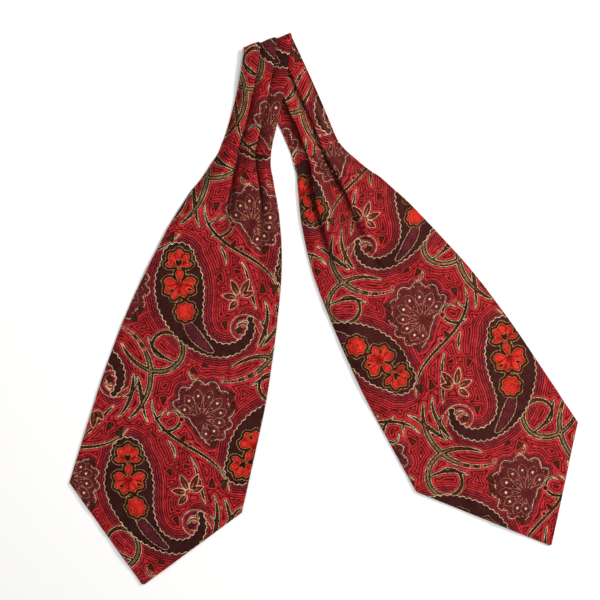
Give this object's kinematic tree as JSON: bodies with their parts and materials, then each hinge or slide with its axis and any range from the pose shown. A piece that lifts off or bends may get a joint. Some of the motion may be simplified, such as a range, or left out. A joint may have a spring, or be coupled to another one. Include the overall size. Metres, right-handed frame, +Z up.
{
  "type": "silk cravat",
  "caption": "Silk cravat laid flat: pointed blades, each a face on a back panel, joined by a pleated neckband folded over at the nape.",
  "frame": {"origin": "on the table under the middle of the cravat's outline", "axes": "+Z up off the table, +Y towards the fold at the nape, +X towards the right blade"},
  "size_m": [0.4924, 0.5344, 0.0079],
  "materials": {
    "face_silk": "satin paisley silk",
    "back_silk": "satin paisley silk",
    "band_silk": "satin paisley silk"
  },
  "bodies": {
    "root": {"left_blade_face": "face_silk", "left_blade_back": "back_silk", "left_neckband": "band_silk", "right_blade_face": "face_silk", "right_blade_back": "back_silk", "right_neckband": "band_silk"}
  },
  "joints": []
}
